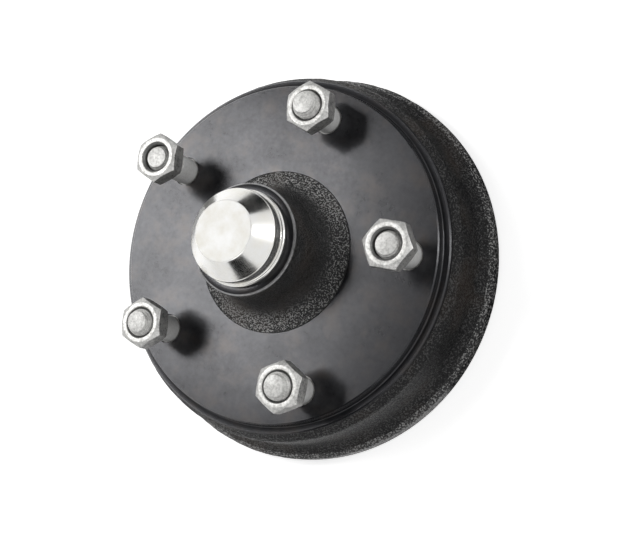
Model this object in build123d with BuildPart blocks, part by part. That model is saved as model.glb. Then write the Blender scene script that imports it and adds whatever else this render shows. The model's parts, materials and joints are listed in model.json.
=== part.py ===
from build123d import *
from math import asin, cos, hypot, radians, sin, tan
import os

# Trailer hub and brake drum in one casting, with wheel studs and nuts, taper roller bearings,
# grease seal and pressed grease cap. Millimetres, +Z along the hub axis towards the nose,
# origin on the axis in the plane of the open rim that the drum stands on.

os.makedirs("parts", exist_ok=True)

# Wheel studs
stud_count = 5
stud_circle_radius = 82.55
first_stud_angle = 90.0
stud_radius = 8.0
thread_relief = 0.2          # the thread and the neck are this much thinner than the plain shank
plain_length = 15.5          # plain shank above the wheel face
stud_reach = 33.5            # stud end above the wheel face
stud_chamfer = 1.6
spline_height = 0.7          # splined part past the plain shank
spline_depth = 0.35
spline_count = 24
neck_length = 1.5            # plain neck between the splines and the wheel face
head_radius = 12.0
head_height = 4.5
head_edge = 1.0

# Wheel nuts
nut_flats = 25.8
nut_height = 11.0
nut_face_margin = 0.6        # flats past the round washer face at both ends
nut_corner_margin = 1.0      # chamfer cone past the corners
nut_chamfer_angle = 30.0
nut_bore_clearance = 0.15
nut_countersink = 1.4
nut_tops = (28.3, 34.5, 30.1, 29.3, 33.6)        # nut's outer face above the wheel face
nut_turns = (50.4, 46.7, 51.5, 41.6, 10.6)       # direction of one corner, in degrees

# Drum
drum_depth = 58.0            # open rim to wheel face
web_thickness = 11.5
head_clearance = 5.45        # friction surface outside the stud heads
shell_wall = 9.4
shell_draft = 1.2            # growth of the shell's radius from its front to its flange
shoulder_drop = 9.2          # wheel face to the start of the cast shoulder
shoulder_height = 4.6
shoulder_width = 4.3         # shell past the stepped rim
shoulder_round = 3.0
flange_reach = 9.3           # rear flange past the shell's front
flange_width = 10.5
flange_slope = 4.5           # height of the flange's cast front slope
flange_round = 2.2
flange_front_round = 1.1
flange_hollow = 7.0          # fillet between shell and flange
flange_edge = 0.9
lip_wall = 5.6               # spigot that enters the backplate's groove
lip_height = 3.7
lip_edge = 0.8
mouth_chamfer = 1.5
relief_depth = 0.9           # run-out groove at the inner end of the friction surface
relief_width = 5.0
web_corner = 4.0

# Stepped rim of the wheel face
face_edge = 0.7
step_drop = 5.4              # wheel face to the flat ring outside it
step_ring = 5.1              # radial width of the riser and the flat ring together
riser_slope = 0.8
riser_fillet = 0.9
step_edge = 0.8

# Hub nose, boss and barrel
nose_wall = 6.4              # round the grease cap
nose_height = 38.5           # above the wheel face
nose_edge = 1.2
nose_mouth = 0.6
boss_hollow = 15.75          # concave radius between nose and wheel face
boss_step = 0.4              # the boss stands this much above the machined face
barrel_wall = 10.4           # round the inner bearing
barrel_length = 42.0         # wheel face to the barrel's rear end
barrel_draft = 1.5
barrel_fillet = 8.0
barrel_edge = 1.2
seat_shoulder = 3.4          # radial width of the shoulders that the bearing cups seat on
seat_depth = 3.5
outer_seat_depth = 24.0      # nose face to the shoulder behind the outer bearing

# Grease cap
cap_sheet = 1.5
cap_bore_step = 0.45         # cap bore past the outer bearing's seat
cap_bore_depth = 10.0
cap_end_gap = 1.5            # under the cap's skirt
cap_body_step = 0.45         # visible body past the pressed skirt
cap_bead_reach = 1.3
cap_bead_height = 4.2
cap_bead_neck = 0.45         # groove between bead and body
cap_shoulder_height = 12.0   # nose face to the foot of the cone
cap_cone_reach = 9.15        # radial width of the cone
cap_height = 22.2            # nose face to the cap's end
cap_end_round = 1.6
cap_shoulder_round = 1.8

# Outer bearing
outer_bore_radius = 12.7
outer_cone_wall = 3.83       # bore to raceway, at the middle of the rollers
outer_roller_radius = 2.9
outer_roller_length = 9.4
outer_roller_count = 18
outer_cup_angle = 14.0
outer_cup_lip = 1.4          # cup's wall at its thin end
outer_cup_margin = 0.74      # cup past the rollers at each end
outer_back_rib = 1.15        # length of the cone behind the rollers
outer_front_rib = 3.55       # length of the cone in front of the rollers

# Inner bearing
inner_bore_radius = 15.875
inner_cone_wall = 4.3
inner_roller_radius = 3.1
inner_roller_length = 10.4
inner_roller_count = 20
inner_cup_angle = 15.0
inner_cup_lip = 1.5
inner_cup_margin = 0.84
inner_back_rib = 1.63
inner_front_rib = 4.06

# Both bearings
running_gap = 0.1            # between rollers and races
cage_sheet = 0.9
cage_offset = 1.1            # cage's inner face outside the rollers' pitch cone
cage_overhang = 1.7          # cage past the rollers' ends
window_gap = 0.15
ring_edge = 0.7
front_rib_height = 2.6       # cone's rib past its raceway, at the rollers' large ends
back_rib_height = 0.8

# Grease seal
seal_step = 2.4              # seal's seat past the inner bearing's
seal_width = 9.0
seal_front_gap = 1.3         # seal case to inner bearing
seal_sheet = 1.2
seal_web = 5.0               # radial width of the case's flat web
seal_land_step = 6.4         # lip's inner edge past the inner bearing's bore
seal_lip_width = 5.5
seal_lip_taper = 2.4
seal_lip_slant = 1.2
spring_radius = 0.9
spring_offset = 2.7          # spring's circle outside the lip's inner edge


class TaperBearing:
    """Sizes of one taper roller bearing, whose raceways meet in an apex on the axis.
    Heights count from the cup's back face towards the rollers' large ends."""

    def __init__(self, name, bore, cone_wall, roller_radius, roller_length, roller_count,
                 cup_angle, cup_lip, cup_margin, back_rib, front_rib):
        self.name = name
        self.bore = bore
        self.roller_count = roller_count
        self.cup_angle = radians(cup_angle)
        pitch_radius = bore + cone_wall + roller_radius
        run = (pitch_radius + roller_radius * cos(self.cup_angle)) / sin(self.cup_angle)
        reach = hypot(run, roller_radius)
        self.half_taper = asin(roller_radius / reach)
        self.pitch_angle = self.cup_angle - self.half_taper
        self.cone_angle = self.pitch_angle - self.half_taper
        self.cup_width = roller_length * cos(self.pitch_angle) + 2 * cup_margin
        self.apex = self.cup_width / 2 - reach * cos(self.pitch_angle)
        self.lip_race = self.race(self.cup_width, self.cup_angle)
        self.outside = self.lip_race + cup_lip
        self.near = reach - roller_length / 2
        self.far = reach + roller_length / 2
        self.rib_bottom = self.along(self.near, 0)[1] - running_gap
        self.rib_top = self.along(self.far, -self.far * tan(self.half_taper))[1] + running_gap
        self.back = self.rib_bottom - back_rib
        self.front = self.rib_top + front_rib

    def race(self, height, angle):
        """Radius at a height on a line from the apex."""
        return (height - self.apex) * tan(angle)

    def along(self, distance, outwards):
        """Profile point at a distance from the apex on the pitch line and a step outwards."""
        return (
            distance * sin(self.pitch_angle) + outwards * cos(self.pitch_angle),
            self.apex + distance * cos(self.pitch_angle) - outwards * sin(self.pitch_angle),
        )

    def roller_profile(self, clearance):
        """Half section of one roller, grown by a clearance."""
        start, finish = self.near - clearance, self.far + clearance
        small = start * tan(self.half_taper) - running_gap + clearance
        large = finish * tan(self.half_taper) - running_gap + clearance
        return (
            self.along(start, 0),
            self.along(start, small),
            self.along(finish, large),
            self.along(finish, 0),
        )


outer = TaperBearing("outer", outer_bore_radius, outer_cone_wall, outer_roller_radius,
                     outer_roller_length, outer_roller_count, outer_cup_angle, outer_cup_lip,
                     outer_cup_margin, outer_back_rib, outer_front_rib)
inner = TaperBearing("inner", inner_bore_radius, inner_cone_wall, inner_roller_radius,
                     inner_roller_length, inner_roller_count, inner_cup_angle, inner_cup_lip,
                     inner_cup_margin, inner_back_rib, inner_front_rib)

# Radii worked out from the sizes above
thread_radius = stud_radius - thread_relief
spline_radius = stud_radius + spline_height
nut_bore_radius = thread_radius + nut_bore_clearance
brake_radius = stud_circle_radius + head_radius + head_clearance
shell_radius = brake_radius + shell_wall
step_radius = shell_radius - shoulder_width
face_radius = step_radius - step_ring
flange_radius = shell_radius + flange_reach
lip_radius = brake_radius + lip_wall
cap_bore_radius = outer.outside + cap_bore_step
cap_body_radius = cap_bore_radius + cap_body_step
cap_bead_radius = cap_body_radius + cap_bead_reach
cap_end_radius = cap_body_radius - cap_cone_reach
nose_radius = cap_bore_radius + nose_wall
boss_radius = nose_radius + boss_hollow
barrel_radius = inner.outside + barrel_wall
seal_radius = inner.outside + seal_step
seal_web_radius = seal_radius - seal_web
seal_lip_radius = inner.bore + seal_land_step
spring_circle_radius = seal_lip_radius + spring_offset

# Heights worked out from the sizes above
face_height = drum_depth
web_height = face_height - web_thickness
shoulder_foot = face_height - shoulder_drop
shell_front = shoulder_foot - shoulder_height
flange_top = lip_height + flange_width
nose_top = face_height + nose_height
boss_height = face_height + boss_step
cap_bore_bottom = nose_top - cap_bore_depth
barrel_end = face_height - barrel_length
seal_back = barrel_end + ring_edge
seal_front = seal_back + seal_width
inner_seat = seal_front + seal_front_gap + inner.front
outer_seat = nose_top - outer_seat_depth


def corner(sketch, radius, height):
    """The corner of a profile nearest to a radius and a height."""
    return sketch.vertices().sort_by_distance((radius, height, 0))[0]


def stud_place(number):
    """Centre of one stud, counted anticlockwise from the first."""
    angle = radians(first_stud_angle + 360 / stud_count * number)
    return Vector(stud_circle_radius * cos(angle), stud_circle_radius * sin(angle))


# Casting: drum shell, web, boss and hub barrel in one turned profile
def make_casting():
    with BuildPart() as drum_hub:
        with BuildSketch(Plane.XZ) as profile:
            with BuildLine():
                Polyline(
                    (boss_radius, face_height),
                    (face_radius - face_edge, face_height),
                    (face_radius, face_height - face_edge),
                    (face_radius + riser_slope, face_height - step_drop),
                    (step_radius - step_edge, face_height - step_drop),
                    (step_radius, face_height - step_drop - step_edge),
                    (step_radius, shoulder_foot),
                    (shell_radius, shell_front),
                    (shell_radius + shell_draft, flange_top + flange_slope),
                    (flange_radius - flange_round, flange_top),
                    (flange_radius, flange_top - flange_round),
                    (flange_radius, lip_height + flange_edge),
                    (flange_radius - flange_edge, lip_height),
                    (lip_radius, lip_height),
                    (lip_radius, lip_edge),
                    (lip_radius - lip_edge, 0),
                    (brake_radius + mouth_chamfer, 0),
                    (brake_radius, mouth_chamfer),
                    (brake_radius, web_height - relief_width),
                    (brake_radius + relief_depth, web_height - relief_width + relief_depth),
                    (brake_radius + relief_depth, web_height),
                    (barrel_radius, web_height),
                    (barrel_radius - barrel_draft, barrel_end),
                    (seal_radius, barrel_end),
                    (seal_radius, seal_front),
                    (inner.outside, seal_front),
                    (inner.outside, inner_seat),
                    (inner.outside - seat_shoulder, inner_seat),
                    (inner.outside - seat_shoulder, inner_seat + seat_depth),
                    (outer.outside - seat_shoulder, outer_seat - seat_depth),
                    (outer.outside - seat_shoulder, outer_seat),
                    (outer.outside, outer_seat),
                    (outer.outside, cap_bore_bottom),
                    (cap_bore_radius, cap_bore_bottom + cap_bore_step),
                    (cap_bore_radius, nose_top),
                    (nose_radius, nose_top),
                    (nose_radius, boss_height + boss_hollow),
                )
                RadiusArc(
                    (nose_radius, boss_height + boss_hollow), (boss_radius, boss_height), -boss_hollow
                )
                Line((boss_radius, boss_height), (boss_radius, face_height))
            make_face()
            fillet(corner(profile, face_radius + riser_slope, face_height - step_drop), riser_fillet)
            fillet(corner(profile, shell_radius, shell_front), shoulder_round)
            fillet(
                corner(profile, shell_radius + shell_draft, flange_top + flange_slope), flange_hollow
            )
            fillet(corner(profile, flange_radius - flange_round, flange_top), flange_front_round)
            fillet(corner(profile, flange_radius, flange_top - flange_round), flange_round)
            fillet(corner(profile, brake_radius + relief_depth, web_height), web_corner)
            fillet(corner(profile, barrel_radius, web_height), barrel_fillet)
            chamfer(corner(profile, barrel_radius - barrel_draft, barrel_end), barrel_edge)
            chamfer(corner(profile, nose_radius, nose_top), nose_edge)
            chamfer(corner(profile, cap_bore_radius, nose_top), nose_mouth)
        revolve(axis=Axis.Z)
        with Locations(Location((0, 0, face_height))):
            with PolarLocations(stud_circle_radius, stud_count, first_stud_angle):
                Hole(spline_radius)
    drum_hub.part.label = "drum_hub"
    export_step(drum_hub.part, "parts/drum_hub.step")


# Wheel stud: head behind the web, splined part pressed into it, neck, plain shank, thread
def make_stud(number):
    place = stud_place(number)
    spline_top = face_height - neck_length
    shank_top = face_height + plain_length
    stud_end = face_height + stud_reach
    with BuildPart() as wheel_stud:
        with BuildSketch(Plane.XZ.offset(-place.Y)):
            with BuildLine():
                Polyline(
                    (place.X, web_height - head_height),
                    (place.X + head_radius - head_edge, web_height - head_height),
                    (place.X + head_radius, web_height - head_height + head_edge),
                    (place.X + head_radius, web_height),
                    (place.X + spline_radius, web_height),
                    (place.X + spline_radius, spline_top - spline_depth),
                    (place.X + spline_radius - spline_depth, spline_top),
                    (place.X + thread_radius, spline_top),
                    (place.X + thread_radius, face_height),
                    (place.X + stud_radius, face_height),
                    (place.X + stud_radius, shank_top),
                    (place.X + thread_radius, shank_top),
                    (place.X + thread_radius, stud_end - stud_chamfer),
                    (place.X + thread_radius - stud_chamfer, stud_end),
                    (place.X, stud_end),
                    close=True,
                )
            make_face()
        revolve(axis=Axis((place.X, place.Y, 0), (0, 0, 1)))
        with BuildSketch(Plane.XY.offset(web_height)):
            with Locations((place.X, place.Y)):
                with PolarLocations(spline_radius, spline_count):
                    RegularPolygon(spline_depth, 4)
        extrude(amount=spline_top - web_height, mode=Mode.SUBTRACT)
    wheel_stud.part.label = f"wheel_stud_{number + 1}"
    export_step(wheel_stud.part, f"parts/wheel_stud_{number + 1}.step")


# Wheel nut: hexagon with both ends chamfered, countersunk bore
def make_nut(number):
    place = stud_place(number)
    top = face_height + nut_tops[number]
    bottom = top - nut_height
    washer_radius = nut_flats / 2 - nut_face_margin
    reach = nut_flats / 2 / cos(radians(30)) + nut_corner_margin
    drop = (reach - washer_radius) * tan(radians(nut_chamfer_angle))
    with BuildPart() as wheel_nut:
        with BuildSketch(Plane.XY.offset(bottom)):
            with Locations(Location((place.X, place.Y), nut_turns[number])):
                RegularPolygon(nut_flats / 2, 6, major_radius=False)
        extrude(amount=nut_height)
        with BuildSketch(Plane.XZ.offset(-place.Y)):
            with BuildLine():
                Polyline(
                    (place.X, bottom),
                    (place.X + washer_radius, bottom),
                    (place.X + reach, bottom + drop),
                    (place.X + reach, top - drop),
                    (place.X + washer_radius, top),
                    (place.X, top),
                    close=True,
                )
            make_face()
        revolve(axis=Axis((place.X, place.Y, 0), (0, 0, 1)), mode=Mode.INTERSECT)
        with Locations(Location((place.X, place.Y, top))):
            Hole(nut_bore_radius)
        bore_rims = wheel_nut.edges().filter_by(
            lambda edge: edge.geom_type == GeomType.CIRCLE
            and abs(edge.radius - nut_bore_radius) < nut_bore_clearance
        )
        chamfer(bore_rims, nut_countersink)
    wheel_nut.part.label = f"wheel_nut_{number + 1}"
    export_step(wheel_nut.part, f"parts/wheel_nut_{number + 1}.step")


# Grease cap: drawn from sheet, with a bead that stops it on the nose's face
def make_cap():
    bead_top = nose_top + cap_bead_height
    shoulder = nose_top + cap_shoulder_height
    end = nose_top + cap_height
    skirt_end = cap_bore_bottom + cap_end_gap
    inner_radius = cap_bore_radius - cap_sheet
    slant = cap_sheet * tan(radians(22.5))
    with BuildPart() as grease_cap:
        with BuildSketch(Plane.XZ) as profile:
            with BuildLine():
                Polyline(
                    (0, end),
                    (cap_end_radius, end),
                    (cap_body_radius, shoulder),
                    (cap_body_radius, bead_top + cap_bead_neck),
                    (cap_body_radius - cap_bead_neck, bead_top),
                    (cap_bead_radius, bead_top - cap_bead_neck),
                    (cap_bead_radius, nose_top),
                    (cap_bore_radius, nose_top),
                    (cap_bore_radius, skirt_end + nose_mouth),
                    (cap_bore_radius - nose_mouth, skirt_end),
                    (inner_radius, skirt_end),
                    (inner_radius, shoulder - slant),
                    (cap_end_radius - slant, end - cap_sheet),
                    (0, end - cap_sheet),
                    close=True,
                )
            make_face()
            fillet(corner(profile, cap_end_radius, end), cap_end_round)
            fillet(corner(profile, cap_body_radius, shoulder), cap_shoulder_round)
            fillet(corner(profile, cap_bead_radius, bead_top - cap_bead_neck), cap_sheet)
            fillet(corner(profile, cap_bead_radius, nose_top), cap_sheet)
            fillet(corner(profile, inner_radius, shoulder - slant), cap_end_round)
        revolve(axis=Axis.Z)
    grease_cap.part.label = "grease_cap"
    export_step(grease_cap.part, "parts/grease_cap.step")


# Taper roller bearing: cup in the hub, cone on the spindle, rollers in a pressed cage.
# The cup's back sits at seat, and side is the way that the rollers' large ends face.
def make_bearing(bearing, seat, side):
    plane = Plane(origin=(0, 0, seat), x_dir=(1, 0, 0), z_dir=(0, -side, 0))

    with BuildPart() as cup:
        with BuildSketch(plane) as profile:
            with BuildLine():
                Polyline(
                    (bearing.race(0, bearing.cup_angle), 0),
                    (bearing.outside, 0),
                    (bearing.outside, bearing.cup_width),
                    (bearing.lip_race, bearing.cup_width),
                    close=True,
                )
            make_face()
            chamfer(corner(profile, bearing.outside, 0), ring_edge)
            chamfer(corner(profile, bearing.outside, bearing.cup_width), ring_edge)
        revolve(axis=Axis.Z)
    cup.part.label = f"{bearing.name}_bearing_cup"
    export_step(cup.part, f"parts/{bearing.name}_bearing_cup.step")

    race_back = bearing.race(bearing.rib_bottom, bearing.cone_angle)
    race_front = bearing.race(bearing.rib_top, bearing.cone_angle)
    gap = running_gap / cos(bearing.pitch_angle)
    with BuildPart() as cone:
        with BuildSketch(plane) as profile:
            with BuildLine():
                Polyline(
                    (bearing.bore, bearing.back),
                    (race_back + back_rib_height, bearing.back),
                    (race_back + back_rib_height, bearing.rib_bottom),
                    (race_back - gap, bearing.rib_bottom),
                    (race_front - gap, bearing.rib_top),
                    (race_front + front_rib_height, bearing.rib_top),
                    (race_front + front_rib_height, bearing.front),
                    (bearing.bore, bearing.front),
                    close=True,
                )
            make_face()
            chamfer(corner(profile, race_front + front_rib_height, bearing.front), ring_edge)
            chamfer(corner(profile, bearing.bore, bearing.front), ring_edge)
            chamfer(corner(profile, bearing.bore, bearing.back), ring_edge)
        revolve(axis=Axis.Z)
    cone.part.label = f"{bearing.name}_bearing_cone"
    export_step(cone.part, f"parts/{bearing.name}_bearing_cone.step")

    axis_start = plane.from_local_coords((*bearing.along(bearing.near, 0), 0))
    axis_finish = plane.from_local_coords((*bearing.along(bearing.far, 0), 0))
    roller_axis = Axis(axis_start, axis_finish - axis_start)

    with BuildPart() as roller:
        with BuildSketch(plane):
            with BuildLine():
                Polyline(*bearing.roller_profile(0), close=True)
            make_face()
        revolve(axis=roller_axis)
    with BuildPart() as rollers:
        with PolarLocations(0, bearing.roller_count):
            add(roller.part)
    rollers.part.label = f"{bearing.name}_bearing_rollers"
    export_step(rollers.part, f"parts/{bearing.name}_bearing_rollers.step")

    with BuildPart() as window:
        with BuildSketch(plane):
            with BuildLine():
                Polyline(*bearing.roller_profile(window_gap), close=True)
            make_face()
        revolve(axis=roller_axis)
    small_end = bearing.near - cage_overhang
    large_end = bearing.far + cage_overhang
    with BuildPart() as cage:
        with BuildSketch(plane):
            with BuildLine():
                Polyline(
                    bearing.along(small_end, cage_offset),
                    bearing.along(large_end, cage_offset),
                    bearing.along(large_end, cage_offset + cage_sheet),
                    bearing.along(small_end, cage_offset + cage_sheet),
                    close=True,
                )
            make_face()
        revolve(axis=Axis.Z)
        with PolarLocations(0, bearing.roller_count):
            add(window.part, mode=Mode.SUBTRACT)
    cage.part.label = f"{bearing.name}_bearing_cage"
    export_step(cage.part, f"parts/{bearing.name}_bearing_cage.step")

    cone_middle = bearing.race(bearing.cup_width / 2, bearing.cone_angle)
    cup_middle = bearing.race(bearing.cup_width / 2, bearing.cup_angle)
    print(bearing.name, "outside radius", round(bearing.outside, 3),
          "cage turns per turn of the cone", round(cone_middle / (cone_middle + cup_middle), 4))


# Grease seal: sheet case pressed into the barrel, moulded lip, garter spring round the lip
def make_seal():
    web_front = seal_back + seal_sheet
    lip_front = web_front + seal_lip_width
    spring_height = lip_front - seal_lip_width / 2
    with BuildPart() as seal_case:
        with BuildSketch(Plane.XZ):
            with BuildLine():
                Polyline(
                    (seal_web_radius, seal_back),
                    (seal_radius, seal_back),
                    (seal_radius, seal_front),
                    (seal_radius - seal_sheet, seal_front),
                    (seal_radius - seal_sheet, web_front),
                    (seal_web_radius, web_front),
                    close=True,
                )
            make_face()
        revolve(axis=Axis.Z)
    seal_case.part.label = "seal_case"
    export_step(seal_case.part, "parts/seal_case.step")

    with BuildPart() as seal_lip:
        with BuildSketch(Plane.XZ):
            with BuildLine():
                Polyline(
                    (seal_web_radius, seal_back),
                    (seal_web_radius, web_front),
                    (seal_lip_radius + seal_lip_taper, web_front),
                    (spring_circle_radius, lip_front - seal_lip_slant),
                    (spring_circle_radius, lip_front),
                    (seal_lip_radius + seal_lip_slant, lip_front),
                    (seal_lip_radius, lip_front - seal_lip_taper),
                    (seal_lip_radius + seal_lip_slant, seal_back),
                    close=True,
                )
            make_face()
            with Locations((spring_circle_radius, spring_height)):
                Circle(spring_radius, mode=Mode.SUBTRACT)
        revolve(axis=Axis.Z)
    seal_lip.part.label = "seal_lip"
    export_step(seal_lip.part, "parts/seal_lip.step")

    with BuildPart() as seal_spring:
        with BuildSketch(Plane.XZ):
            with Locations((spring_circle_radius, spring_height)):
                Circle(spring_radius)
        revolve(axis=Axis.Z)
    seal_spring.part.label = "seal_spring"
    export_step(seal_spring.part, "parts/seal_spring.step")


make_casting()
for stud_number in range(stud_count):
    make_stud(stud_number)
    make_nut(stud_number)
make_cap()
make_bearing(outer, outer_seat, 1)
make_bearing(inner, inner_seat, -1)
make_seal()
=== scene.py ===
import json
from math import atan2, ceil, cos, hypot, pi, radians, sin, tan

import bmesh
import bpy
from mathutils import Matrix, Vector, noise


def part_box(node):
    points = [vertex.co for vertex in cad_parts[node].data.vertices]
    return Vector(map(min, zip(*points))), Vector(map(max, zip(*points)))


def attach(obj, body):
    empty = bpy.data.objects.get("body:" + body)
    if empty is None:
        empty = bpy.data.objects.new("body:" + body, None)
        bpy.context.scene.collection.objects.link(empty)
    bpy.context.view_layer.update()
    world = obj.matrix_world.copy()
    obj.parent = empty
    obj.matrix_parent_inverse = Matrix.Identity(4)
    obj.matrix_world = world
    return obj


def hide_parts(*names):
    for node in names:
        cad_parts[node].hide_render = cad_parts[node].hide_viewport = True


bl_info = {
    "name": "Trailer brake drum",
    "version": (1, 0, 0),
    "blender": (4, 5, 0),
    "location": "3D View > Sidebar > Brake Drum",
    "description": "Dresses the packed model of a hub-type brake drum and sets up its studio",
    "category": "Object",
}

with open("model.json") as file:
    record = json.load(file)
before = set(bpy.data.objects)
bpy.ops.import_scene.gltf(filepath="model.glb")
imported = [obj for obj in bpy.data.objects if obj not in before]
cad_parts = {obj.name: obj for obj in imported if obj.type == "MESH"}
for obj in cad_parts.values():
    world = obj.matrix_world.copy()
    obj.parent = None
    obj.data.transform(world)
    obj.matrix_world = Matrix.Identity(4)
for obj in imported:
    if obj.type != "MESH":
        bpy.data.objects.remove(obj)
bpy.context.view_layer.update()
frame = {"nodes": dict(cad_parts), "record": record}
nodes = frame["nodes"]
mounts = {mount["name"]: mount for mount in frame["record"]["mounts"]}

MM = 0.001
CLOSE = 0.01 * MM  # two places no further apart than this count as one
FULL_TURN = 2 * pi
HEX_HALF = radians(30)  # half the angle from one corner of a hexagon to the next
STUD_COUNT = 5
UP = Vector((0, 0, 1))


def length(name, description, millimetres):
    """A length property whose default is given in millimetres."""
    return bpy.props.FloatProperty(
        name=name, description=description, default=millimetres * MM, unit="LENGTH", precision=5
    )


def tint(name, description, *colour):
    """A colour property in linear light."""
    return bpy.props.FloatVectorProperty(
        name=name, description=description, default=colour, size=3, subtype="COLOR",
        min=0.0, max=1.0,
    )


def power(name, description, watts):
    """A lamp's power."""
    return bpy.props.FloatProperty(name=name, description=description, default=watts, unit="POWER")


class CastingSizes(bpy.types.PropertyGroup):
    """Turned profile and cast skin of the drum and hub."""

    face_height: length("Wheel face", "Height of the wheel face above the open rim", 58.0)
    face_radius: length("Face radius", "Outer radius of the wheel face", 100.0)
    face_edge: length("Face edge", "Chamfer round the wheel face", 0.7)
    web: length("Web", "Thickness of the drum's web", 11.5)
    brake_radius: length("Friction radius", "Radius of the friction surface", 100.0)
    mouth: length("Mouth", "Chamfer at the mouth of the friction surface", 1.5)
    relief_depth: length("Relief depth", "Depth of the run-out groove", 0.9)
    relief_width: length("Relief width", "Width of the run-out groove", 5.0)
    web_round: length("Web round", "Rounding between run-out groove and web", 4.0)
    step_radius: length("Step radius", "Radius of the ring below the face", 105.1)
    step_drop: length("Step drop", "Wheel face to the ring below it", 5.4)
    step_edge: length("Step edge", "Chamfer on the ring's outer edge", 0.8)
    riser: length("Riser", "Lean of the riser under the face's edge", 0.8)
    riser_foot: length("Riser foot", "Rounding at the foot of the riser", 0.9)
    shoulder_drop: length("Shoulder drop", "Wheel face to the cast shoulder", 9.2)
    shell_radius: length("Shell radius", "Radius of the cast shell at its front", 109.4)
    shell_front: length("Shell front", "Height of the shell's front corner", 44.2)
    shell_round: length("Shell round", "Rounding of the shell's front corner", 3.0)
    shell_draft: length("Shell draft", "Growth of its radius towards the flange", 1.2)
    flange_hollow: length("Flange hollow", "Rounding between shell and flange", 7.0)
    flange_radius: length("Flange radius", "Radius of the rear flange", 118.7)
    flange_top: length("Flange top", "Height of the rear flange's front", 14.2)
    flange_slope: length("Flange slope", "Height of the flange's cast front slope", 4.5)
    flange_toe: length("Flange toe", "Rounding at the outer end of the slope", 1.1)
    flange_round: length("Flange round", "Rounding of the flange's front corner", 2.2)
    flange_edge: length("Flange edge", "Chamfer at the back of the flange", 0.9)
    lip_radius: length("Lip radius", "Radius of the rear lip", 105.6)
    lip_height: length("Lip height", "Height of the rear lip", 3.7)
    lip_edge: length("Lip edge", "Chamfer on the rear lip", 0.8)
    nose_radius: length("Nose radius", "Radius of the hub nose", 32.0)
    nose_top: length("Nose top", "Height of the hub nose", 96.5)
    nose_edge: length("Nose edge", "Rounding round the nose's end", 1.2)
    nose_mouth: length("Nose mouth", "Rounding at the mouth of the cap's bore", 0.6)
    boss_hollow: length("Boss hollow", "Concave radius between nose and boss", 15.75)
    boss_step: length("Boss step", "Height of the boss above the machined face", 0.4)
    barrel_radius: length("Barrel radius", "Radius of the barrel at the web", 39.966)
    barrel_draft: length("Barrel draft", "Taper of the hub barrel", 1.5)
    barrel_foot: length("Barrel foot", "Rounding between barrel and web", 8.0)
    barrel_end: length("Barrel end", "Height of the barrel's rear end", 16.0)
    barrel_edge: length("Barrel edge", "Chamfer on the barrel's rear end", 1.2)
    outer_cup: length("Outer bearing seat", "Radius of the outer bearing's seat", 25.149)
    outer_seat: length("Outer seat height", "Height of the outer bearing's shoulder", 72.5)
    inner_cup: length("Inner bearing seat", "Radius of the inner bearing's seat", 29.566)
    inner_seat: length("Inner seat height", "Height of the inner bearing's shoulder", 42.87)
    seal_seat: length("Seal seat", "Radius of the grease seal's seat", 31.966)
    seal_front: length("Seal front", "Height of the seal seat's end", 25.7)
    cap_bore: length("Cap bore", "Radius of the bore for the grease cap", 25.6)
    cap_bore_depth: length("Cap bore depth", "Depth of the bore for the grease cap", 10.0)
    shoulder: length("Seat shoulder", "Radial width of the bearing shoulders", 3.4)
    seat_depth: length("Shoulder depth", "Depth of the bearing shoulders", 3.5)
    stud_hole: length("Stud hole", "Radius of the stud holes", 8.7)
    segments: bpy.props.IntProperty(
        name="Segments", description="Steps of the turned shape round the axis", default=432
    )
    skin_grain: length("Skin grain", "Size of the small lumps of the cast skin", 2.6)
    skin_depth: length("Skin depth", "Height of the small lumps", 0.13)
    skin_waves: length("Skin waves", "Size of the wide waves of the cast skin", 14.0)
    skin_wave_depth: length("Skin wave depth", "Height of the wide waves", 0.16)
    skin_fade: length("Skin fade", "Distance over which the cast skin sets in", 2.5)


class FastenerSizes(bpy.types.PropertyGroup):
    """Wheel studs and wheel nuts."""

    stud_radius: length("Stud radius", "Radius of the plain shank", 8.0)
    crest_radius: length("Thread crest", "Radius over the thread's crests", 7.85)
    thread_depth: length("Thread depth", "Depth of the thread", 0.78)
    pitch: length("Thread pitch", "Distance from one turn to the next", 1.5)
    plain_length: length("Plain length", "Plain shank above the wheel face", 15.5)
    reach: length("Stud reach", "Stud end above the wheel face", 33.5)
    end_chamfer: length("End chamfer", "Radial size of the stud's tapered end", 1.8)
    end_taper: length("End taper", "Length of the stud's tapered end", 3.6)
    neck_radius: length("Neck radius", "Plain neck between the splines and the face", 7.8)
    neck_length: length("Neck length", "Length of the plain neck", 1.5)
    spline_radius: length("Spline radius", "Radius over the splines", 8.7)
    spline_depth: length("Spline depth", "Depth of the grooves between the splines", 0.35)
    head_radius: length("Head radius", "Radius of the stud's head", 12.0)
    head_height: length("Head height", "Height of the stud's head", 4.5)
    head_edge: length("Head edge", "Chamfer on the stud's head", 1.0)
    nut_flats: length("Across flats", "Width of the nut across its flats", 25.8)
    nut_bore: length("Nut bore", "Radius of the nut's bore", 7.95)
    nut_mouth: length("Nut mouth", "Countersink of the nut's bore", 1.4)
    nut_margin: length("Washer face margin", "Flats past the round end face", 1.4)
    nut_corner: length("Corner margin", "Chamfer cone past the nut's corners", 1.0)
    nut_round: length("Nut rounding", "Size of the steps that round the zinc-coated edges", 0.3)
    nut_turns: bpy.props.FloatVectorProperty(
        name="Nut turns", description="Direction of one corner of each nut, in degrees",
        default=(50.4, 46.7, 51.5, 41.6, 10.6), size=STUD_COUNT,
    )
    zinc_grain: length("Zinc grain", "Size of the lumps in the dipped zinc", 1.6)
    zinc_depth: length("Zinc depth", "Height of the lumps in the dipped zinc", 0.045)


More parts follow.
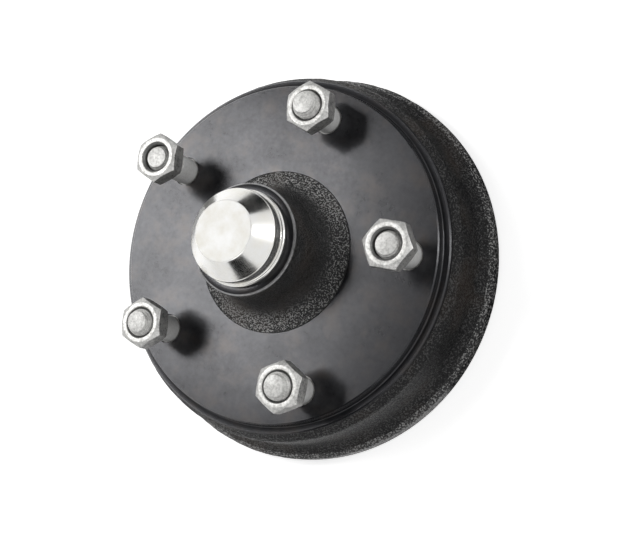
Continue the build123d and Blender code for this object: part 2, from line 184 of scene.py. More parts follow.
class CapSizes(bpy.types.PropertyGroup):
    """Pressed grease cap."""

    sheet: length("Sheet", "Thickness of the cap's sheet", 1.5)
    skirt_radius: length("Skirt radius", "Radius of the skirt in the hub", 25.6)
    skirt_end: length("Skirt end", "Height of the skirt's lower edge", 88.0)
    body_radius: length("Body radius", "Radius of the visible body", 26.05)
    bead_radius: length("Bead radius", "Radius of the bead on the hub's nose", 27.35)
    bead_height: length("Bead height", "Height of the bead", 4.2)
    bead_neck: length("Bead neck", "Groove between bead and body", 0.45)
    shoulder: length("Shoulder", "Height of the foot of the cone above the nose", 12.0)
    end_radius: length("End radius", "Radius of the cap's flat end", 16.9)
    height: length("Height", "Cap's end above the nose", 22.2)
    end_round: length("End round", "Rounding round the flat end", 1.4)
    shoulder_round: length("Shoulder round", "Rounding at the foot of the cone", 1.8)
    wave_size: length("Wave size", "Size of the faint waves that pressing leaves", 11.0)
    wave_depth: length("Wave depth", "Height of the faint waves", 0.035)


class Finishes(bpy.types.PropertyGroup):
    """Colours of the finishes, in linear light; some of them are painted glints and painted shade.
    """

    paint: tint("Black paint", "Paint on the machined wheel face", 0.016, 0.016, 0.0185)
    paint_light: tint("Rubbed paint", "Lighter mottles of the paint", 0.038, 0.0385, 0.043)
    paint_warm: tint("Thin paint", "Brownish tint where the paint is thin", 0.048, 0.038, 0.032)
    # The nose's end is painted a lighter grey than the wheel face, mottled with a darker grey.
    nose_end_grey: tint("Worn paint", "Paint rubbed thin on the nose's end", 0.55, 0.55, 0.555)
    nose_end_grey_dark: tint("Kept paint", "Darker mottles on the nose's end", 0.16, 0.16, 0.163)
    # The cast peaks colour is a painted glint on the peaks of the bumps; the cast hollows colour is
    # the black paint around them.
    cast_dark: tint("Cast hollows", "Hollows of the painted cast skin", 0.006, 0.006, 0.0065)
    cast_glint: tint("Cast peaks", "Peaks of the painted cast skin", 0.460, 0.457, 0.450)
    thin_rust: tint("Thin rust", "Rust that shows through the cast paint", 0.050, 0.033, 0.022)
    friction: tint("Bare iron", "Turned friction surface", 0.30, 0.29, 0.28)
    rust: tint("Light rust", "Light rust on bare iron", 0.20, 0.11, 0.06)
    galvanised: tint("Galvanised", "Zinc on studs and nuts", 0.72, 0.715, 0.695)
    galvanised_dark: tint("Galvanised shade", "Dull patches of the zinc", 0.42, 0.415, 0.40)
    # The nut side, pit, bore and chamfer colours are darker copies of the nuts' zinc: painted shade
    # on the sides, in the bores and countersinks and on the chamfered corners.
    nut_side_shade: tint("Nut side", "Unmachined sides of the nuts", 0.40, 0.395, 0.385)
    nut_shade_pits: tint("Nut side pits", "Dark pits on the sides of the nuts", 0.13, 0.13, 0.13)
    nut_bore: tint("Nut bore", "Countersinks and bores of the nuts", 0.17, 0.17, 0.165)
    nut_chamfer_shade: tint("Nut chamfer", "Chamfered corners of the nuts", 0.62, 0.615, 0.60)
    nut_chamfer_shade_pits: tint("Nut chamfer pits", "Dark pits on the chamfers", 0.34, 0.34, 0.33)
    # The shank colour is the studs' zinc lightened as painted light, so the shanks under the nuts
    # look lit.
    shank: tint("Shank", "Plain shank of the studs", 0.86, 0.86, 0.85)
    bright_zinc: tint("Bright zinc", "Plated zinc on the grease cap", 0.76, 0.76, 0.75)
    yellow_zinc: tint("Yellow zinc", "Yellowish patches of the plated zinc", 0.74, 0.725, 0.68)
    steel: tint("Ground steel", "Bearing races and rollers", 0.60, 0.60, 0.61)
    cage: tint("Cage steel", "Pressed bearing cages", 0.42, 0.41, 0.40)
    seal: tint("Seal case", "Pressed case of the grease seal", 0.44, 0.43, 0.40)
    rubber: tint("Rubber", "Lip of the grease seal", 0.018, 0.017, 0.017)


class StudioSettings(bpy.types.PropertyGroup):
    """Camera, lamps and floor."""

    camera_place: bpy.props.FloatVectorProperty(
        name="Camera", description="Camera's place", size=3, subtype="TRANSLATION",
        default=(0.31058, 0.00034, 0.61570),
    )
    camera_target: bpy.props.FloatVectorProperty(
        name="Target", description="Point it looks at", size=3, subtype="TRANSLATION",
        default=(0.02887, -0.00124, 0.058),
    )
    camera_up: bpy.props.FloatVectorProperty(
        name="Up", description="What is up in the picture", size=3, subtype="DIRECTION",
        default=(-0.33290, 0.92832, 0.16554),
    )
    lens: bpy.props.FloatProperty(
        name="Lens", description="Focal length in millimetres", default=62.74, unit="CAMERA"
    )
    key_power: power("Key power", "Large lamp over the wheel face", 6.0)
    rim_power: power("Rim power", "Lamp that draws the rim's lines", 1.8)
    fill_power: power("Fill power", "Weak lamp behind the camera", 0.7)
    surroundings: bpy.props.FloatProperty(
        name="Surroundings", description="Light of the white room on the object", default=0.2,
        min=0.0, max=1.0, subtype="FACTOR",
    )
    floor: tint("Floor", "Colour of the floor", 0.80, 0.80, 0.80)


# Shapes


def draw_outline(corners, closed=True):
    """Wire in the XZ plane through corners: radius, height and, if round, rounding and steps."""
    outline = bmesh.new()
    verts = [outline.verts.new((corner[0], 0.0, corner[1])) for corner in corners]
    for start, finish in zip(verts, verts[1:]):
        outline.edges.new((start, finish))
    if closed:
        outline.edges.new((verts[-1], verts[0]))
    count = len(verts)
    rounded = []
    for index, corner in enumerate(corners):
        if len(corner) > 2:
            here = Vector(corner[:2])
            angle = (Vector(corners[index - 1][:2]) - here).angle(
                Vector(corners[(index + 1) % count][:2]) - here
            )
            rounded.append((verts[index], corner[2] / tan(angle / 2), corner[3]))
    for vert, offset, steps in rounded:
        bmesh.ops.bevel(
            outline, geom=[vert], offset=offset, offset_type="OFFSET", segments=steps,
            profile=0.5, affect="VERTICES", material=-1, clamp_overlap=False,
        )
    return outline


def divide_outline(outline, step_at):
    """Divides edges until none is longer than step_at(radius, height)."""
    for edge in outline.edges[:]:
        middle = (edge.verts[0].co + edge.verts[1].co) / 2
        cuts = ceil(edge.calc_length() / step_at(middle.x, middle.z)) - 1
        if cuts > 0:
            bmesh.ops.subdivide_edges(outline, edges=[edge], cuts=cuts)


def turn_outline(outline, segments):
    """Turns an outline about the Z axis into a closed solid with faces outwards."""
    bmesh.ops.spin(
        outline, geom=outline.verts[:] + outline.edges[:], cent=(0, 0, 0), axis=(0, 0, 1),
        angle=FULL_TURN, steps=segments, use_merge=True, use_duplicate=False,
    )
    bmesh.ops.remove_doubles(outline, verts=outline.verts[:], dist=0.002 * MM)
    bmesh.ops.recalc_face_normals(outline, faces=outline.faces[:])
    return outline


def off_axis(point):
    """Distance of a point from the Z axis."""
    return hypot(point.x, point.y)


def fade(value, start, finish):
    """0 at start, 1 at finish, smooth between."""
    x = min(max((value - start) / (finish - start), 0.0), 1.0)
    return x * x * (3 - 2 * x)


def roughen(mesh, layers, weight_at, sink=0.4):
    """Moves vertices along their normals by noise of (size, height, shift), less sink."""
    mesh.normal_update()
    moves = []
    for vert in mesh.verts:
        weight = weight_at(vert.co)
        if weight > 0:
            lift = sum(
                height * (noise.noise(vert.co / size + Vector((shift, shift, shift))) - sink)
                for size, height, shift in layers
            )
            moves.append((vert, vert.normal * lift * weight))
    for vert, move in moves:
        vert.co += move


def new_object(mesh, name):
    """A mesh object at the origin, made from a bmesh."""
    data = bpy.data.meshes.new(name)
    mesh.to_mesh(data)
    mesh.free()
    made = bpy.data.objects.new(name, data)
    bpy.context.scene.collection.objects.link(made)
    return made


def apply_modifiers(made, *helpers):
    """Replaces an object's mesh by its modified one and deletes helper objects."""
    bpy.context.view_layer.update()
    shaped = bpy.data.meshes.new_from_object(
        made.evaluated_get(bpy.context.evaluated_depsgraph_get())
    )
    made.modifiers.clear()
    made.data = shaped
    for helper in helpers:
        bpy.data.objects.remove(helper)


def cut(made, helper, operation):
    """Adds or takes away a helper's volume."""
    boolean = made.modifiers.new(operation.title(), "BOOLEAN")
    boolean.object = helper
    boolean.operation = operation
    boolean.solver = "EXACT"
    apply_modifiers(made, helper)


def finish_piece(made, finishes, node, crease):
    """Gives a piece its finishes, smooth shading and body, and hides the CAD node it replaces."""
    zones = [face.material_index for face in made.data.polygons]
    made.data.materials.clear()
    for finish in finishes:
        made.data.materials.append(finish)
    made.data.polygons.foreach_set("material_index", zones)
    made.data.shade_smooth()
    made.data.set_sharp_from_angle(angle=radians(crease))
    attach(made, "drum")
    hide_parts(node)


def stud_place(number):
    """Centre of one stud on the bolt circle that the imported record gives."""
    radius = mounts["wheel_studs"]["dims"]["pcd_mm"] / 2 * MM
    angle = radians(90 + 360 / STUD_COUNT * number)
    return Vector((radius * cos(angle), radius * sin(angle), 0.0))


# Finishes


class Finish:
    """One procedural material; its helpers add nodes and return their outputs."""

    def __init__(self, name, **shader):
        self.material = bpy.data.materials.new(name)
        self.material.use_nodes = True
        self.tree = self.material.node_tree
        self.shader = self.tree.nodes["Principled BSDF"]
        self.place = self.tree.nodes.new("ShaderNodeTexCoord").outputs["Object"]
        for socket, value in shader.items():
            self.set(self.shader, socket.replace("_", " "), value)

    def set(self, node, socket, value):
        """Links an output to a socket, or sets the socket to a number or colour."""
        if isinstance(value, bpy.types.NodeSocket):
            self.tree.links.new(value, node.inputs[socket])
        elif node.inputs[socket].type == "RGBA":
            node.inputs[socket].default_value = (*value, 1.0)
        else:
            node.inputs[socket].default_value = value

    def add(self, kind, output, options, **inputs):
        """Adds a node with its options and inputs, and returns one of its outputs."""
        node = self.tree.nodes.new(kind)
        for option, value in options.items():
            setattr(node, option, value)
        for socket, value in inputs.items():
            self.set(node, socket.replace("_", " "), value)
        return node.outputs[output]

    def stretched(self, scale):
        """Object coordinates with a scale for each axis."""
        return self.add("ShaderNodeMapping", 0, {}, Vector=self.place, Scale=scale)

    def grain(self, size, detail=3.0, roughness=0.5, place=None):
        """Noise whose lumps are about size metres across."""
        return self.add(
            "ShaderNodeTexNoise", "Fac", {}, Vector=place or self.place, Scale=1 / size,
            Detail=detail, Roughness=roughness,
        )

    def radius(self):
        """Distance from the Z axis."""
        return self.add(
            "ShaderNodeVectorMath", "Value", {"operation": "LENGTH"},
            Vector=self.stretched((1.0, 1.0, 0.0)),
        )

    def rings(self, spacing, distortion=0.4):
        """Fine turning marks round the Z axis; at a scale of 1 there are 3.2 to the metre."""
        return self.add(
            "ShaderNodeTexWave", "Fac",
            {"wave_type": "RINGS", "rings_direction": "Z", "wave_profile": "SIN"},
            Vector=self.place, Scale=1 / spacing / 3.2, Distortion=distortion, Detail=2.0,
            Detail_Scale=1.5,
        )

    def span(self, value, low, high, start=0.0, finish=1.0):
        """Maps low..high to start..finish, clamped."""
        return self.add(
            "ShaderNodeMapRange", 0, {"clamp": True}, Value=value, From_Min=low, From_Max=high,
            To_Min=start, To_Max=finish,
        )

    def mixed(self, amount, first, second):
        """Colour between two colours; the Mix node's colours are inputs 6 and 7 and output 2."""
        node = self.tree.nodes.new("ShaderNodeMix")
        node.data_type = "RGBA"
        for index, value in ((0, amount), (6, first), (7, second)):
            self.set(node, index, value)
        return node.outputs[2]

    def plus(self, first, second, weight):
        """First value and a share of the second."""
        node = self.tree.nodes.new("ShaderNodeMath")
        node.operation = "MULTIPLY_ADD"
        for index, value in enumerate((second, weight, first)):
            self.set(node, index, value)
        return node.outputs[0]

    def relief(self, height, depth, under=None):
        """Bump of a depth in metres, on top of another relief."""
        inputs = {"Height": height, "Distance": depth, "Strength": 1.0}
        if under is not None:
            inputs["Normal"] = under
        return self.add("ShaderNodeBump", 0, {}, **inputs)

    def wear(self, colour, roughness, normal):
        """Gives the shader its colour, roughness and relief, and returns the material."""
        self.set(self.shader, "Base Color", colour)
        self.set(self.shader, "Roughness", roughness)
        self.set(self.shader, "Normal", normal)
        return self.material


def machined_paint(name, dark, light):
    """Satin black over a turned face: mottled, a little brown where it is thin."""
    colours = bpy.context.scene.drum_finishes
    finish = Finish(name, Metallic=0.4, Specular_IOR_Level=0.5)
    mottle = finish.grain(3.0 * MM, 5.0, 0.64)
    clouds = finish.grain(30 * MM, 5.0, 0.6)
    tints = finish.grain(15 * MM, 4.0, 0.65)
    shade = finish.plus(clouds, mottle, 0.7)
    colour = finish.mixed(finish.span(shade, 0.62, 1.08), dark, light)
    colour = finish.mixed(finish.span(tints, 0.50, 0.72, 0.0, 0.6), colour, colours.paint_warm)
    sheen = finish.span(shade, 0.55, 1.15, 0.26, 0.215)
    normal = finish.relief(finish.rings(0.9 * MM), 0.003 * MM)
    normal = finish.relief(mottle, 0.03 * MM, normal)
    return finish.wear(colour, sheen, normal)


def cast_paint(name, size, depth, rough, shine, light, hollow=0.0):
    """Paint over a sand-cast skin, with painted glints: the peaks of its bumps get a lighter
    colour.

    With hollow, a radius, the painted glints stay faint inside it as painted shade of the nose and
    cap, and stop in a line at the boss's edge as a painted shadow. Light sets how bright the
    painted glints are.
    """
    colours = bpy.context.scene.drum_finishes
    finish = Finish(name, Specular_IOR_Level=shine)
    lumps = finish.grain(size, 2.0, 0.55)
    waves = finish.grain(size * 5, 3.0, 0.55)
    patches = finish.grain(30 * MM, 3.0, 0.5)
    peaks = finish.plus(lumps, patches, 0.25)
    if hollow:
        # Painted shade near the nose, and a painted shadow line at the boss's edge.
        reach = finish.radius()
        line = hollow + 11.7 * MM
        light = finish.span(reach, hollow, hollow + 5 * MM, light * 0.15, light)
        light = finish.span(reach, line, line + 0.2 * MM, light, 0.0)
    # Painted glints: lighter colour on the peaks of the bumps.
    colour = finish.mixed(
        finish.span(peaks, 0.64, 0.72, 0.0, light), colours.cast_dark, colours.cast_glint
    )
    rusty = finish.span(patches, 0.50, 0.68, 0.0, 0.35)
    colour = finish.mixed(rusty, colour, colours.thin_rust)
    sheen = finish.span(peaks, 0.50, 0.75, rough + 0.08, rough - 0.08)
    normal = finish.relief(waves, depth)
    normal = finish.relief(lumps, depth, normal)
    return finish.wear(colour, sheen, normal)


def bare_iron():
    """Turned friction surface with a breath of rust."""
    colours = bpy.context.scene.drum_finishes
    finish = Finish("bare_iron", Metallic=1.0)
    turning = finish.grain(0.5 * MM, 2.0, 0.5, finish.stretched((0.02, 0.02, 1.0)))
    patches = finish.grain(18 * MM, 4.0, 0.6)
    colour = finish.mixed(finish.span(patches, 0.52, 0.72), colours.friction, colours.rust)
    sheen = finish.span(turning, 0.3, 0.7, 0.34, 0.48)
    normal = finish.relief(turning, 0.02 * MM)
    normal = finish.relief(finish.grain(0.8 * MM), 0.02 * MM, normal)
    return finish.wear(colour, sheen, normal)


def galvanised(name, metal, rough, depth, dark, light):
    """Zinc with grainy patches between two colours, given by their names."""
    colours = bpy.context.scene.drum_finishes
    finish = Finish(name, Metallic=metal)
    specks = finish.grain(1.3 * MM, 4.0, 0.68)
    clouds = finish.grain(5 * MM, 3.0, 0.55)
    shade = finish.span(finish.plus(specks, clouds, 0.6), 0.58, 0.92)
    colour = finish.mixed(shade, getattr(colours, dark), getattr(colours, light))
    sheen = finish.span(specks, 0.3, 0.7, rough + 0.08, rough - 0.08)
    normal = finish.relief(specks, depth)
    normal = finish.relief(clouds, depth, normal)
    return finish.wear(colour, sheen, normal)


def bright_zinc(name, low, high):
    """Bright plated sheet with faint drawing marks; roughness runs from low to high."""
    colours = bpy.context.scene.drum_finishes
    finish = Finish(name, Metallic=1.0)
    clouds = finish.grain(9 * MM, 4.0, 0.6)
    fine = finish.grain(1.1 * MM, 3.0, 0.6)
    colour = finish.mixed(
        finish.span(clouds, 0.35, 0.7), colours.bright_zinc, colours.yellow_zinc
    )
    sheen = finish.span(finish.plus(clouds, fine, 0.5), 0.5, 1.0, low, high)
    normal = finish.relief(finish.rings(0.7 * MM, 1.2), 0.002 * MM)
    normal = finish.relief(fine, 0.012 * MM, normal)
    return finish.wear(colour, sheen, normal)


def plain_metal(name, colour, low, high, grain_size, depth):
    """Bearing and seal steel with fine turning marks."""
    finish = Finish(name, Metallic=1.0)
    marks = finish.grain(grain_size, 3.0, 0.55)
    clouds = finish.grain(7 * MM, 3.0)
    tone = finish.mixed(
        finish.span(clouds, 0.35, 0.7), colour, [channel * 0.82 for channel in colour]
    )
    sheen = finish.span(marks, 0.3, 0.7, low, high)
    normal = finish.relief(finish.rings(0.6 * MM), depth / 2)
    normal = finish.relief(marks, depth, normal)
    return finish.wear(tone, sheen, normal)


def seal_rubber():
    """Moulded rubber with a fine matt skin."""
    colours = bpy.context.scene.drum_finishes
    finish = Finish("seal_rubber")
    skin = finish.grain(0.5 * MM, 3.0)
    clouds = finish.grain(5 * MM, 3.0)
    colour = finish.mixed(
        finish.span(clouds, 0.4, 0.7), colours.rubber,
        [channel * 1.7 for channel in colours.rubber],
    )
    return finish.wear(
        colour, finish.span(skin, 0.3, 0.7, 0.48, 0.62), finish.relief(skin, 0.03 * MM)
    )


# Pieces


def casting_corners(s):
    """Corners of the casting's half section, anticlockwise from the nose's foot."""
    face, web = s.face_height, s.face_height - s.web
    ring = face - s.step_drop
    boss = face + s.boss_step
    relief = s.brake_radius + s.relief_depth
    inner_neck = s.inner_cup - s.shoulder
    outer_neck = s.outer_cup - s.shoulder
    cap_floor = s.nose_top - s.cap_bore_depth
    return [
        (s.nose_radius, boss, s.boss_hollow, 22),
        (s.nose_radius + s.boss_hollow, boss - 0.001 * MM),
        (s.nose_radius + s.boss_hollow, face),
        (s.face_radius - s.face_edge, face),
        (s.face_radius, face - s.face_edge),
        (s.face_radius + s.riser, ring, s.riser_foot, 4),
        (s.step_radius - s.step_edge, ring),
        (s.step_radius, ring - s.step_edge),
        (s.step_radius, face - s.shoulder_drop),
        (s.shell_radius, s.shell_front, s.shell_round, 5),
        (s.shell_radius + s.shell_draft, s.flange_top + s.flange_slope, s.flange_hollow, 8),
        (s.flange_radius - s.flange_round, s.flange_top, s.flange_toe, 4),
        (s.flange_radius, s.flange_top - s.flange_round, s.flange_round, 5),
        (s.flange_radius, s.lip_height + s.flange_edge, 0.4 * MM, 2),
        (s.flange_radius - s.flange_edge, s.lip_height),
        (s.lip_radius, s.lip_height),
        (s.lip_radius, s.lip_edge),
        (s.lip_radius - s.lip_edge, 0.0),
        (s.brake_radius + s.mouth, 0.0),
        (s.brake_radius, s.mouth),
        (s.brake_radius, web - s.relief_width),
        (relief, web - s.relief_width + s.relief_depth),
        (relief, web, s.web_round, 5),
        (s.barrel_radius, web, s.barrel_foot, 7),
        (s.barrel_radius - s.barrel_draft, s.barrel_end, s.barrel_edge, 1),
        (s.seal_seat, s.barrel_end),
        (s.seal_seat, s.seal_front),
        (s.inner_cup, s.seal_front),
        (s.inner_cup, s.inner_seat),
        (inner_neck, s.inner_seat),
        (inner_neck, s.inner_seat + s.seat_depth),
        (outer_neck, s.outer_seat - s.seat_depth),
        (outer_neck, s.outer_seat),
        (s.outer_cup, s.outer_seat),
        (s.outer_cup, cap_floor),
        (s.cap_bore, cap_floor + s.cap_bore - s.outer_cup),
        (s.cap_bore, s.nose_top, s.nose_mouth, 1),
        (s.nose_radius, s.nose_top, s.nose_edge, 2),
    ]


class DRUM_OT_casting(bpy.types.Operator):
    """Turn the casting, cut its stud holes and give its cast zones their skin"""

    bl_idname = "drum.casting"
    bl_label = "Drum and hub casting"

    def execute(self, context):
        s = context.scene.drum_casting
        boss_edge = s.nose_radius + s.boss_hollow
        shoulder = s.face_height - s.shoulder_drop
        web = s.face_height - s.web
        edge = 1.6 * MM  # width of a turned edge beside a bore or the nose's end
        nose_skin = s.nose_top - edge
        margin = 1 * MM
        steps = {"boss": 1.15 * MM, "shell": 1.35 * MM, "web": 2.6 * MM, None: 60 * MM}

        def zone(radius, height):
            """Cast zone of a point, and how far inside it lies."""
            if height > s.face_height + CLOSE and radius > s.nose_radius - margin:
                return "boss", min(boss_edge - radius, nose_skin - height)
            if radius > s.lip_radius - margin and height < shoulder:
                return "shell", min(shoulder - height, height - s.lip_height - margin)
            if height < web + margin and s.seal_seat + 2 * margin < radius < s.brake_radius:
                return "web", min(s.brake_radius - radius, height - s.barrel_end) - 2 * margin
            return None, 0.0

        outline = draw_outline(casting_corners(s))
        divide_outline(outline, lambda radius, height: steps[zone(radius, height)[0]])
        solid = turn_outline(outline, s.segments)
        casting = new_object(solid, "casting")

        drills = bmesh.new()
        for number in range(STUD_COUNT):
            place = stud_place(number) + Vector((0, 0, s.face_height - s.web / 2))
            bmesh.ops.create_cone(
                drills, cap_ends=True, segments=72, radius1=s.stud_hole, radius2=s.stud_hole,
                depth=s.web + 10 * MM, matrix=Matrix.Translation(place),
            )
        cut(casting, new_object(drills, "stud_hole_drills"), "DIFFERENCE")

        def skin_weight(point):
            name, inside = zone(off_axis(point), point.z)
            return fade(inside, 0.0, s.skin_fade) * (1.4 if name == "web" else 1.0)

        solid = bmesh.new()
        solid.from_mesh(casting.data)
        roughen(
            solid,
            (
                (s.skin_grain, s.skin_depth, 0.0),
                (s.skin_grain * 2.3, s.skin_depth, 7.3),
                (s.skin_waves, s.skin_wave_depth, 3.1),
            ),
            skin_weight,
        )
        colours = context.scene.drum_finishes
        # Light is the brightness of each cast finish's painted glints; the boss's glints fade
        # inside 35.5 mm as painted shade.
        finishes = {
            "face": machined_paint("machined_paint", colours.paint, colours.paint_light),
            "boss": cast_paint(
                "cast_paint_boss", size=0.85 * MM, depth=1.2 * MM, rough=0.34, shine=0.4,
                light=1.0, hollow=35.5 * MM,
            ),
            "shell": cast_paint(
                "cast_paint_shell", size=1.0 * MM, depth=1.0 * MM, rough=0.42, shine=0.2,
                light=0.17,
            ),
            "bore": bare_iron(),
            "flange": cast_paint(
                "cast_paint_flange", size=1.1 * MM, depth=1.3 * MM, rough=0.34, shine=0.4,
                light=0.8,
            ),
            "nose": machined_paint("nose_paint", colours.nose_end_grey_dark, colours.nose_end_grey),
        }
        index = {name: number for number, name in enumerate(finishes)}
        for face in solid.faces:
            middle = face.calc_center_median()
            radius = off_axis(middle)
            name = zone(radius, middle.z)[0]
            friction = s.brake_radius - margin < radius < s.brake_radius + edge
            barrel = radius < s.seal_seat + edge and middle.z < s.nose_top - 0.7 * MM
            if friction and middle.z < web - s.web_round or (barrel and name != "boss"):
                face.material_index = index["bore"]
            elif name == "shell" and radius > s.flange_radius - 2.8 * MM:
                face.material_index = index["flange"]
            elif name in ("shell", "web"):
                face.material_index = index["shell"]
            elif name == "boss":
                face.material_index = index["boss" if middle.z < nose_skin else "nose"]
        solid.to_mesh(casting.data)
        solid.free()
        finish_piece(casting, finishes.values(), "drum_hub", crease=32)
        return {"FINISHED"}


class DRUM_OT_studs(bpy.types.Operator):
    """Turn the wheel studs, with splines and a rolled thread"""

    bl_idname = "drum.studs"
    bl_label = "Wheel studs"

    def execute(self, context):
        s = context.scene.drum_fasteners
        face = context.scene.drum_casting.face_height
        web = face - context.scene.drum_casting.web
        head = web - s.head_height
        spline_top = face - s.neck_length
        groove_top = spline_top - s.spline_depth
        thread_start = face + s.plain_length
        stud_end = face + s.reach
        segments = 96
        splines = 24

        def step_at(radius, height):
            threaded = height > thread_start and radius > s.stud_radius / 2
            return s.pitch / 8 if threaded else 20 * MM

        def shape_thread(vert):
            """Moves a vertex in to the thread's groove and the stud's taper."""
            radius = off_axis(vert.co)
            if vert.co.z < thread_start - CLOSE or radius < s.stud_radius / 2:
                return
            turn = atan2(vert.co.y, vert.co.x) / FULL_TURN
            phase = (vert.co.z / s.pitch - turn) % 1.0
            # The groove is deepest in the middle of each turn; its flanks take 0.3 of the pitch.
            groove = fade(abs(phase - 0.5), 0.40, 0.10)
            runout = fade(vert.co.z, thread_start, thread_start + s.pitch)
            runout *= fade(vert.co.z, stud_end - 0.4 * MM, stud_end - s.pitch)
            taper = max(vert.co.z - stud_end + s.end_taper, 0.0) / s.end_taper
            crest = s.crest_radius - s.end_chamfer * taper
            wanted = crest - s.thread_depth * groove * runout
            shrink = min(1.0, wanted / radius)
            vert.co.x *= shrink
            vert.co.y *= shrink

        finishes = [
            galvanised("zinc_stud", 0.4, 0.54, 0.05 * MM, "galvanised_dark", "galvanised"),
            galvanised("zinc_shank_lit", 0.1, 0.36, 0.02 * MM, "galvanised", "shank"),
        ]
        for number in range(STUD_COUNT):
            outline = draw_outline(
                [
                    (0.0, head),
                    (s.head_radius - s.head_edge, head),
                    (s.head_radius, head + s.head_edge),
                    (s.head_radius, web),
                    (s.spline_radius, web),
                    (s.spline_radius, groove_top),
                    (s.spline_radius - s.spline_depth, spline_top),
                    (s.neck_radius, spline_top),
                    (s.neck_radius, face),
                    (s.stud_radius, face),
                    (s.stud_radius, thread_start, 0.2 * MM, 2),
                    (s.crest_radius, thread_start),
                    (s.crest_radius, stud_end - s.end_taper),
                    (s.crest_radius - s.end_chamfer, stud_end, 0.25 * MM, 2),
                    (0.0, stud_end),
                ],
                closed=False,
            )
            divide_outline(outline, step_at)
            solid = turn_outline(outline, segments)
            for vert in solid.verts:
                shape_thread(vert)
                turn = round(atan2(vert.co.y, vert.co.x) / FULL_TURN * segments)
                grooved = turn % (segments // splines) == 0
                radius = off_axis(vert.co)
                splined = web - CLOSE < vert.co.z < groove_top + CLOSE
                if grooved and splined and radius < s.spline_radius + CLOSE:
                    vert.co.x *= 1 - s.spline_depth / radius
                    vert.co.y *= 1 - s.spline_depth / radius
            # Each stud has a turn of its own, in radians.
            turned = Matrix.Translation(stud_place(number)) @ Matrix.Rotation(number * 1.7, 4, "Z")
            bmesh.ops.transform(solid, verts=solid.verts[:], matrix=turned)
            roughen(
                solid, ((s.zinc_grain, s.zinc_depth / 2, number * 5.0),),
                lambda point: 1.0 if point.z > face + 0.5 * MM else 0.0,
            )
            # Painted light: the plain shank between face and thread takes the lighter zinc.
            for side in solid.faces:
                if face < side.calc_center_median().z < thread_start:
                    side.material_index = 1
            stud = new_object(solid, f"stud_{number + 1}")
            finish_piece(stud, finishes, f"wheel_stud_{number + 1}", crease=40)
        return {"FINISHED"}


class DRUM_OT_nuts(bpy.types.Operator):
    """Cut the wheel nuts from hexagons and round them as dipped zinc does"""

    bl_idname = "drum.nuts"
    bl_label = "Wheel nuts"

    def execute(self, context):
        s = context.scene.drum_fasteners
        low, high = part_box("wheel_nut_1")
        height = high.z - low.z
        corner = s.nut_flats / 2 / cos(HEX_HALF)
        washer = s.nut_flats / 2 - s.nut_margin
        mouth = s.nut_bore + s.nut_mouth
        reach = corner + s.nut_corner
        drop = (reach - washer) * tan(radians(30))

        hexagon = bmesh.new()
        bmesh.ops.create_cone(
            hexagon, cap_ends=True, segments=6, radius1=corner, radius2=corner, depth=height,
            matrix=Matrix.Translation((0, 0, height / 2)) @ Matrix.Rotation(HEX_HALF, 4, "Z"),
        )
        nut = new_object(hexagon, "nut_blank")
        outline = draw_outline(
            [
                (mouth, 0.0),
                (washer, 0.0),
                (reach, drop),
                (reach, height - drop),
                (washer, height),
                (mouth, height),
                (s.nut_bore, height - s.nut_mouth),
                (s.nut_bore, s.nut_mouth),
            ]
        )
        cut(nut, new_object(turn_outline(outline, 96), "nut_cutter"), "INTERSECT")
        remesh = nut.modifiers.new("Rounding", "REMESH")
        remesh.mode = "VOXEL"
        remesh.voxel_size = s.nut_round
        apply_modifiers(nut)

        # The side, bore and chamfer finishes carry painted shade in darker copies of the zinc.
        finishes = [
            galvanised("zinc_nut", 0.95, 0.54, 0.10 * MM, "galvanised_dark", "galvanised"),
            galvanised("zinc_nut_shaded_side", 0.5, 0.50, 0.25 * MM, "nut_shade_pits", "nut_side_shade"),
            galvanised("zinc_nut_shaded_bore", 0.5, 0.50, 0.05 * MM, "nut_shade_pits", "nut_bore"),
            galvanised("zinc_nut_shaded_chamfer", 0.9, 0.50, 0.12 * MM, "nut_chamfer_shade_pits", "nut_chamfer_shade"),
        ]
        face, side, bore, chamfer = range(len(finishes))
        for number in range(STUD_COUNT):
            name = f"wheel_nut_{number + 1}"
            centre = stud_place(number)
            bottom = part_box(name)[0].z
            solid = bmesh.new()
            solid.from_mesh(nut.data)
            bmesh.ops.smooth_vert(
                solid, verts=solid.verts[:], factor=0.5, use_axis_x=True, use_axis_y=True,
                use_axis_z=True,
            )
            first_corner = Matrix.Rotation(radians(s.nut_turns[number]), 4, "Z")
            place = Matrix.Translation(centre + Vector((0, 0, bottom)))
            bmesh.ops.transform(solid, verts=solid.verts[:], matrix=place @ first_corner)
            roughen(
                solid,
                (
                    (s.zinc_grain, s.zinc_depth, number * 3.0),
                    (s.zinc_grain * 3, s.zinc_depth * 1.5, number * 2.0),
                ),
                lambda point: 1.0,
            )
            solid.normal_update()
            # Painted shade by face: sides, bores with their countersinks, and chamfers get the
            # darker zinc.
            for patch in solid.faces:
                radius = off_axis(patch.calc_center_median() - centre)
                upright = abs(patch.normal.z) < 0.6
                if upright and radius > s.nut_flats / 2 - 2 * MM:
                    patch.material_index = side
                elif radius < mouth - 0.2 * MM:
                    patch.material_index = bore
                elif radius > washer:
                    patch.material_index = chamfer
                else:
                    patch.material_index = face
            made = new_object(solid, f"nut_{number + 1}")
            finish_piece(made, finishes, name, crease=60)
        bpy.data.objects.remove(nut)
        return {"FINISHED"}


